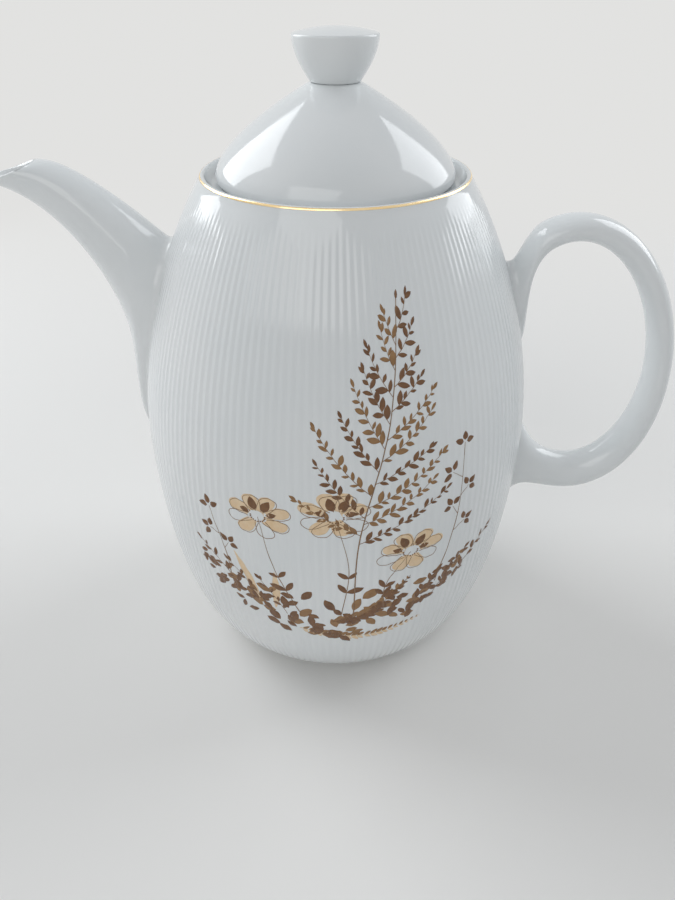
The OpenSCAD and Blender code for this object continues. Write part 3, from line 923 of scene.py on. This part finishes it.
def compose(art):
    """One spray, laid out round a middle line: a tall plume that leans right, a bow of open
    flowers across its foot, and a bank of leaves that hangs below and thins out at both ends."""
    dice = random.Random(11)
    middle, ground = 5, 54      # where the plume is rooted
    plume_h, lean = 98, 16
    bow, flower_r, flowers = 48, 11, 3
    bank_w, bank_sag = 100, 17

    for k in range(flowers):
        share = k / (flowers - 1)
        u = middle - 5 - bow / 2 + bow * share
        z = ground + 27 + 12 * math.sin(math.pi * (share + 0.2))
        foot = (mix(middle, u, 0.6), ground - 6)
        bend = 3 if k % 2 else -3
        half_way = (mix(foot[0], u, 0.4) + bend, mix(foot[1], z, 0.5))
        flower_stem(art, dice, [foot, half_way, (u, z)], 5.5)
        flower(art, dice, (u, z), flower_r * dice.uniform(0.95, 1.1))
    plume(art, dice, (middle + 1, ground - 8), (middle + lean, ground + plume_h), 29, 19)

    for side in (-1, 1):
        for k in range(3):
            root = (middle + side * (22 + 8 * k), ground - 8 + 4 * k)
            angle = math.pi / 2 - side * (0.4 + 0.15 * k)
            sprig(art, dice, root, angle, 17 + 2 * k, 7, 3.8, -side * 0.3)
    clover(art, dice, (middle + 30, ground + 2), (middle + 37, ground + 50), 5, 3.6)
    clover(art, dice, (middle - 42, ground + 4), (middle - 46, ground + 27), 3, 3.8)
    for k in range(2):
        art.leaf("tan", (middle - 31 + 5 * k, ground - 6), 1.8 - 0.4 * k, 24 - 6 * k, 2.8, 0.25)

    bank(art, dice, (middle - 0.56 * bank_w, ground + 8), (middle + 0.44 * bank_w, ground + 8),
         bank_sag, 22, 120)
    frond(art, dice, (middle - 6, ground - 10), (middle + 20, ground + 9), -5, 13, 4.8,
          "dark", "brown")
    frond(art, dice, (middle - 18, ground - 15), (middle + 27, ground - 15), -4, 20, 3.8,
          "tan", "brown")


def transfer_print():
    inks = {"dark": ink("ink_dark", (0.130, 0.052, 0.016), (0.220, 0.100, 0.034)),
            "brown": ink("ink_brown", (0.24, 0.120, 0.040), (0.34, 0.190, 0.075)),
            "tan": ink("ink_tan", (0.74, 0.53, 0.31), (0.80, 0.64, 0.45)),
            "line": ink("ink_line", (0.20, 0.110, 0.050), (0.30, 0.180, 0.095))}
    art = Print()
    compose(art)
    for side in (0, 1):
        for tone, material in inks.items():
            art.build(tone, material, side)


# ---------------------------------------------------------------- stage, lights and camera
PALE = (0.76, 0.76, 0.75, 1)    # the backdrop, as the camera and reflections see it


def floor_and_backdrop():
    """A pale floor that curves up into a backdrop, far behind. Lengths are in metres."""
    front, back, bend, top, half, steps = -2.5, 2.2, 0.8, 3.5, 5.0, 12
    section = [(front, 0), (back, 0)]
    for i in range(1, steps + 1):
        a = math.pi / 2 * i / steps
        section.append((back + bend * math.sin(a), bend - bend * math.cos(a)))
    section.append((back + bend, top))
    points = [(x, y, z) for y, z in section for x in (-half, half)]
    faces = [[2 * i, 2 * i + 1, 2 * i + 3, 2 * i + 2] for i in range(len(section) - 1)]
    mesh = bpy.data.meshes.new("floor")
    mesh.from_pydata(points, [], faces)
    smooth_faces(mesh)
    floor = put_in_scene("floor", mesh)
    n = Nodes("floor")
    n.mottle("Base Color", n.noise(2.0, 2), [(0.3, (0.77, 0.76, 0.74)), (0.7, (0.80, 0.79, 0.77))])
    n.shader.inputs["Roughness"].default_value = 0.9
    n.shader.inputs["Specular IOR Level"].default_value = 0.1
    fade_to_pale(n)
    mesh.materials.append(n.material)


def seen_rays(tree):
    """1 for rays from the camera, for reflections and through glass, and 0 for all others."""
    rays = tree.nodes.new("ShaderNodeLightPath")
    seen = rays.outputs["Is Camera Ray"]
    for kind in ("Is Glossy Ray", "Is Transmission Ray"):
        either = tree.nodes.new("ShaderNodeMath")
        either.operation = "MAXIMUM"
        tree.links.new(seen, either.inputs[0])
        tree.links.new(rays.outputs[kind], either.inputs[1])
        seen = either.outputs[0]
    return seen


def fade_to_pale(n):
    """Behind the pot, and far from it all round, the floor turns into an even pale backdrop for
    the camera and for reflections; it throws no more light on the pot."""
    split = n.add("ShaderNodeSeparateXYZ")
    n.link(n.place(), split.inputs[0])
    distance = n.add("ShaderNodeVectorMath", operation="LENGTH")
    n.link(n.place(), distance.inputs[0])
    behind = n.smooth_step(split.outputs["Y"], 0.12, 0.65)
    away = n.smooth_step(distance.outputs["Value"], 0.3, 0.7)
    share = n.calculate("MULTIPLY", seen_rays(n.tree), n.calculate("MAXIMUM", behind, away))
    glow = n.add("ShaderNodeEmission")
    glow.inputs["Color"].default_value = PALE
    both = n.add("ShaderNodeMixShader")
    n.link(share, both.inputs[0])
    n.link(n.shader.outputs[0], both.inputs[1])
    n.link(glow.outputs[0], both.inputs[2])
    n.link(both.outputs[0], n.tree.nodes["Material Output"].inputs["Surface"])


def softbox(name, place, target, size, power, tint):
    """A lamp with a flat glowing face, turned towards target."""
    data = bpy.data.lights.new(name, "AREA")
    data.shape, data.size, data.size_y = "RECTANGLE", *size
    data.energy, data.color = power, tint
    lamp = put_in_scene(name, data)
    lamp.location = place
    way = np.array(target) - np.array(place)
    lamp.rotation_mode = "QUATERNION"
    lamp.rotation_quaternion = Vector(way).to_track_quat("-Z", "Y")


def lights():
    """Two cool windows at the back, and a large neutral lamp in front."""
    middle = (0, 0, 0.1)
    window, cool = (0.7, 1.0), (0.94, 0.97, 1.0)
    softbox("window_left", (-0.9, 0.55, 0.75), middle, window, 9.0, cool)
    softbox("window_right", (0.95, 0.50, 0.70), middle, window, 6.5, cool)
    softbox("front", (-0.5, -1.2, 1.0), middle, (1.2, 0.9), 5.4, (1.0, 0.99, 0.97))


def surroundings():
    """Soft cool light from all round. The camera and reflections see the backdrop's pale tone."""
    world = bpy.data.worlds.new("studio")
    bpy.context.scene.world = world
    world.use_nodes = True
    tree = world.node_tree
    light = tree.nodes["Background"]
    light.inputs["Color"].default_value = (0.93, 0.96, 1.0, 1)
    light.inputs["Strength"].default_value = 0.38
    pale = tree.nodes.new("ShaderNodeBackground")
    pale.inputs["Color"].default_value = PALE
    both = tree.nodes.new("ShaderNodeMixShader")
    tree.links.new(seen_rays(tree), both.inputs[0])
    tree.links.new(light.outputs[0], both.inputs[1])
    tree.links.new(pale.outputs[0], both.inputs[2])
    tree.links.new(both.outputs[0], tree.nodes["World Output"].inputs["Surface"])


def camera():
    """Close to the pot and above it, looking down."""
    data = bpy.data.cameras.new("camera")
    data.lens, data.sensor_width = 29.6, 36
    data.clip_start, data.clip_end = 0.01, 50
    view = put_in_scene("camera", data)
    look_down = 34.06
    view.location = (0.0006 + AXIS[0] * MM, -0.236, 0.2292)
    view.rotation_euler = (math.radians(90 - look_down), 0, 0)
    bpy.context.scene.camera = view


def main():
    body_glaze, lid_glaze = glaze("body_glaze", 0.37), glaze("lid_glaze", 0.81)
    pot_shell(body_glaze, biscuit("biscuit"))
    spout(body_glaze)
    handle(body_glaze)
    lid_shell(lid_glaze)
    knob(lid_glaze)
    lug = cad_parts["lid_lug"]
    lug.data.materials.clear()
    lug.data.materials.append(lid_glaze)
    gold_line(gold("gold"))
    transfer_print()
    floor_and_backdrop()
    lights()
    surroundings()
    camera()
    bpy.context.scene.view_settings.view_transform = "Standard"


main()
